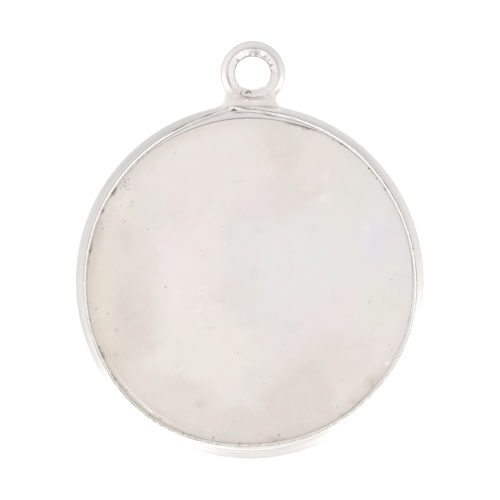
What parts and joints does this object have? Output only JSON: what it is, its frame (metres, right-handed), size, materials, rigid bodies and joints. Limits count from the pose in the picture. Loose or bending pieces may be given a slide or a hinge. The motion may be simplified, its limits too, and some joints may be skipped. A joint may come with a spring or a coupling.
{
  "type": "moonstone pendant",
  "caption": "Round flat moonstone slice held by a thin silver bezel cup, with a soldered wire loop on its side for a jump ring.",
  "frame": {"origin": "centre of the cup's flat back", "axes": "+Z out of the stone's face, +Y from the cup's centre towards the loop, +X to the right when the face is seen with the loop at the top"},
  "size_m": [0.029, 0.0347, 0.0044],
  "materials": {
    "silver": "satin",
    "moonstone": "gloss"
  },
  "bodies": {
    "root": {"silver_setting": "silver", "moonstone": "moonstone"}
  },
  "joints": []
}
